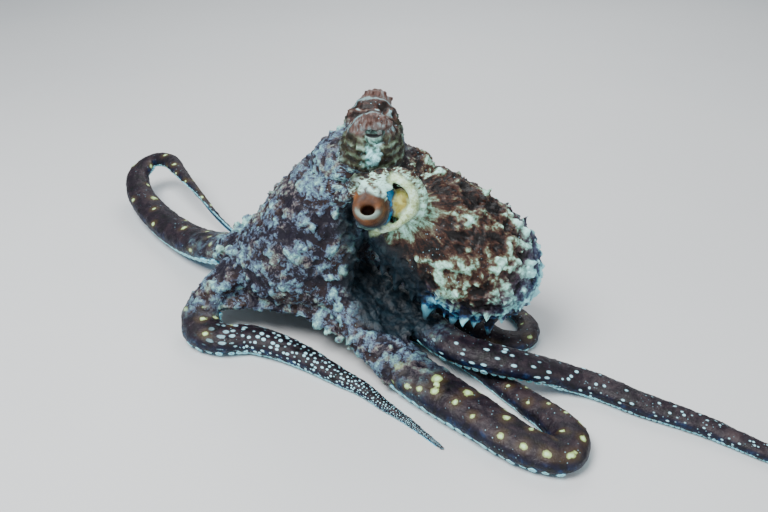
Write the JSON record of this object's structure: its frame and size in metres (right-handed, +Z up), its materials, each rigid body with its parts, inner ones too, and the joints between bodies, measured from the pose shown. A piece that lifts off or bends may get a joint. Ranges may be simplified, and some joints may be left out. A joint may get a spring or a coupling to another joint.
{
  "type": "octopus",
  "caption": "Life-size still model of a reef octopus resting with raised eyes, a sagging papillose mantle and spread, curling arms joined by webs.",
  "frame": {"origin": "on the floor, under the middle of the model's bounding box", "axes": "+Z up; -X is the way the head end faces, +X is the way the mantle points; -Y is the animal's left side"},
  "size_m": [0.5602, 0.4062, 0.1702],
  "materials": {
    "head_skin": "moist mottled skin, brown and cream with pale warts",
    "mantle_skin": "moist streaked skin, red-brown and cream, pale papillae",
    "arm_skin": "moist dark red-brown skin with pale spots and a bluish sucker margin",
    "funnel": "smooth moist orange-brown",
    "funnel_base": "smooth moist ochre",
    "eye": "wet clear eye with a pale iris and a black slit pupil"
  },
  "bodies": {
    "root": {"eye_left": "eye", "eye_turret_left": "head_skin", "eye_right": "eye", "eye_turret_right": "head_skin", "funnel": "funnel", "mantle": "mantle_skin", "funnel_base": "funnel_base", "head": "head_skin", "crown": "head_skin", "arm_left_1_root": "arm_skin", "arm_left_1_middle": "arm_skin", "arm_left_1_tip": "arm_skin", "arm_left_2_root": "arm_skin", "arm_left_2_middle": "arm_skin", "arm_left_2_tip": "arm_skin", "arm_left_3_root": "arm_skin", "arm_left_3_middle": "arm_skin", "arm_left_3_tip": "arm_skin", "arm_left_4_root": "arm_skin", "arm_left_4_middle": "arm_skin", "arm_left_4_tip": "arm_skin", "arm_right_4_root": "arm_skin", "arm_right_4_middle": "arm_skin", "arm_right_4_tip": "arm_skin", "arm_right_3_root": "arm_skin", "arm_right_3_middle": "arm_skin", "arm_right_3_tip": "arm_skin", "arm_right_2_root": "arm_skin", "arm_right_2_middle": "arm_skin", "arm_right_2_tip": "arm_skin", "arm_right_1_root": "arm_skin", "arm_right_1_middle": "arm_skin", "arm_right_1_tip": "arm_skin", "web_left_1_to_left_2": "head_skin", "web_left_2_to_left_3": "head_skin", "web_left_3_to_left_4": "head_skin", "web_left_4_to_right_4": "head_skin", "web_right_4_to_right_3": "head_skin", "web_right_3_to_right_2": "head_skin", "web_right_2_to_right_1": "head_skin", "web_right_1_to_left_1": "head_skin"}
  },
  "joints": []
}
